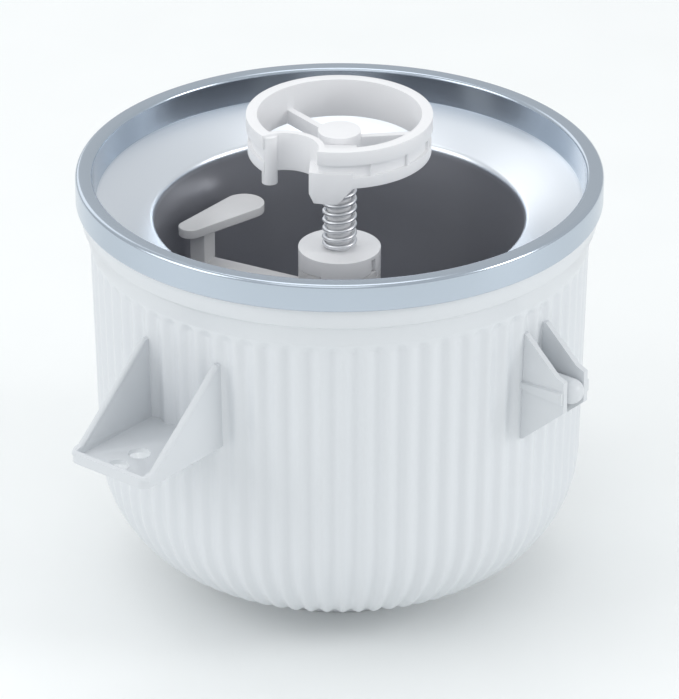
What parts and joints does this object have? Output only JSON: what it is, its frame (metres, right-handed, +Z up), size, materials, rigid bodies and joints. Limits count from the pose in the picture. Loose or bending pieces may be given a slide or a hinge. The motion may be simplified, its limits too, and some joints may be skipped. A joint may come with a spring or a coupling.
{
  "type": "ice cream maker",
  "caption": "Insulated freezing bowl with a ribbed body and metal rim, a turning dasher inside and a sprung drive that joins it to a stand mixer's head.",
  "frame": {"origin": "on the bowl axis at the foot's flat bottom", "axes": "+Z up the bowl axis, +X towards the right wing bracket, -Y towards the latch bracket"},
  "size_m": [0.294, 0.233, 0.2072],
  "materials": {
    "shell_white": "smooth cool white moulding",
    "foot_white": "smooth cool white moulding",
    "bracket_white": "smooth cool white moulding",
    "dasher_white": "smooth white moulding",
    "drive_white": "smooth white moulding",
    "rim_metal": "polished",
    "liner_metal": "dark satin inside, polished shoulder",
    "gasket_rubber": "matt",
    "socket_plastic": "smooth",
    "gel_blue": "sealed gel",
    "jacket_plastic": "plain moulding",
    "foam_cream": "foam",
    "plug_rubber": "matt",
    "screw_steel": "bright",
    "spring_steel": "bright drawn wire"
  },
  "bodies": {
    "bowl": {"outer_shell": "shell_white", "base_foot": "foot_white", "base_screws": "screw_steel", "rim_ring": "rim_metal", "rim_gasket": "gasket_rubber", "inner_bowl": "liner_metal", "pivot_socket": "socket_plastic", "freezing_gel": "gel_blue", "coolant_jacket": "jacket_plastic", "fill_plug": "plug_rubber", "insulation": "foam_cream", "left_bracket": "bracket_white", "right_bracket": "bracket_white", "latch_bracket": "bracket_white", "latch_pin": "bracket_white"},
    "dasher_pivot": {"pivot_foot": "dasher_white"},
    "dasher": {"dasher_frame": "dasher_white", "left_pad": "dasher_white", "right_pad": "dasher_white", "left_paddle": "dasher_white", "right_paddle": "dasher_white", "dasher_clutch": "dasher_white"},
    "coupling": {"drive_coupling": "drive_white", "drive_spring": "spring_steel"},
    "drive": {"drive_shaft": "drive_white", "shaft_clip": "screw_steel", "spring_washer": "spring_steel", "drive_collar": "drive_white"}
  },
  "joints": [
    {"name": "dasher_lift", "type": "slide", "parent": "bowl", "child": "dasher_pivot", "axis": [0, 0, 1], "range_m": [0, 0.175]},
    {"name": "dasher_spin", "type": "hinge", "parent": "dasher_pivot", "child": "dasher", "pos_m": [0, 0, 0.03], "axis": [0, 0, 1], "continuous": true},
    {"name": "drive_lift", "type": "slide", "parent": "dasher", "child": "coupling", "axis": [0, 0, 1], "range_m": [0, 0.15]},
    {"name": "spring_travel", "type": "slide", "parent": "coupling", "child": "drive", "axis": [0, 0, -1], "range_m": [0, 0.009], "stiffness_N_per_m": 300, "springref_m": -0.005, "deforming": ["drive_spring"]}
  ]
}
